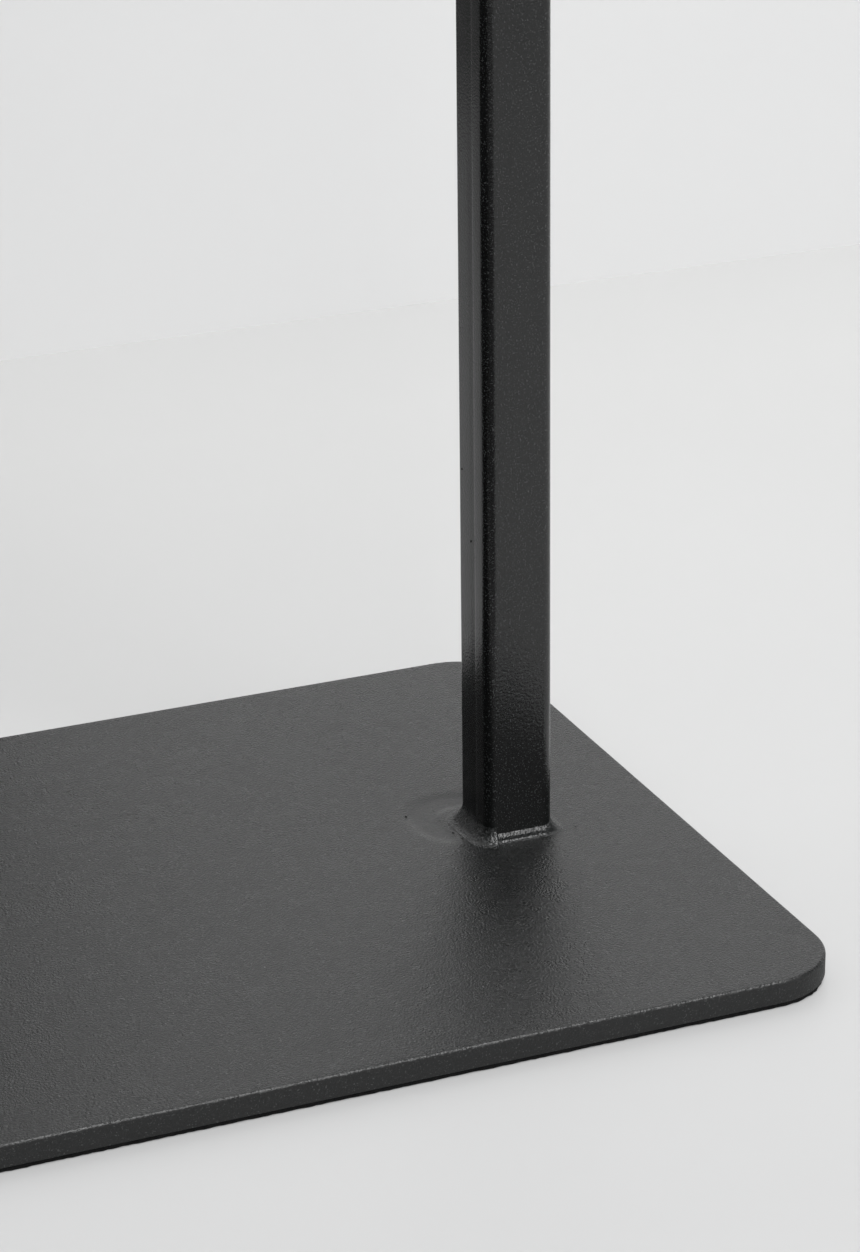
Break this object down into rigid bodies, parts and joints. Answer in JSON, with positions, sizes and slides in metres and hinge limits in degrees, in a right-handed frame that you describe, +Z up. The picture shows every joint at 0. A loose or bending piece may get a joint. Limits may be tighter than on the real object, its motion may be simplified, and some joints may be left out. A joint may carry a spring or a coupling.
{
  "type": "valet stand",
  "caption": "Free-standing valet stand: flat base plate on felt, welded square-tube portal, shoulder hanger, lift-off tray, trouser bar with gravity clamp, pegs.",
  "frame": {"origin": "on the floor, under the middle of the base", "axes": "+Z up, X along the base's long side, -Y to the front, where the clamp opens"},
  "size_m": [0.46, 0.29, 1.115],
  "materials": {
    "black_steel": "satin black powder coat with a fine grain",
    "weld_bead": "powder-coated weld, slightly rippled",
    "felt": "dense black felt",
    "walnut": "oiled dark wood",
    "leather": "dark brown grained leather",
    "soft_pads": "matt black rubber",
    "nylon": "black nylon",
    "zinc_steel": "zinc-plated steel",
    "dark_screws": "black oxide"
  },
  "bodies": {
    "frame": {"base_felt": "felt", "base_plate": "black_steel", "clamp_bushes": "nylon", "clamp_nuts": "zinc_steel", "clamp_screws": "dark_screws", "hanger": "walnut", "hanger_bolts": "dark_screws", "hanger_inserts": "zinc_steel", "hanger_standoffs": "black_steel", "left_foot_weld": "weld_bead", "left_pegs": "black_steel", "left_post": "black_steel", "left_tray_bracket": "black_steel", "peg_nuts": "zinc_steel", "right_foot_weld": "weld_bead", "right_pegs": "black_steel", "right_post": "black_steel", "right_tray_bracket": "black_steel", "top_corner_welds": "weld_bead", "top_rail": "black_steel", "tray_bracket_nuts": "zinc_steel", "tray_bracket_screws": "dark_screws", "tray_pads": "soft_pads", "trouser_bar": "black_steel", "trouser_bar_plugs": "nylon", "trouser_bar_screws": "dark_screws", "trouser_bar_sleeves": "soft_pads"},
    "tray": {"tray": "black_steel", "tray_mat": "leather"},
    "clamp": {"clamp_bail": "black_steel"}
  },
  "joints": [
    {"name": "tray_lift", "type": "slide", "parent": "frame", "child": "tray", "axis": [0, 0, 1], "range_m": [0, 0.06]},
    {"name": "clamp_hinge", "type": "hinge", "parent": "frame", "child": "clamp", "pos_m": [0, 0, 0.82], "axis": [-1, 0, 0], "range_deg": [0, 110]}
  ]
}
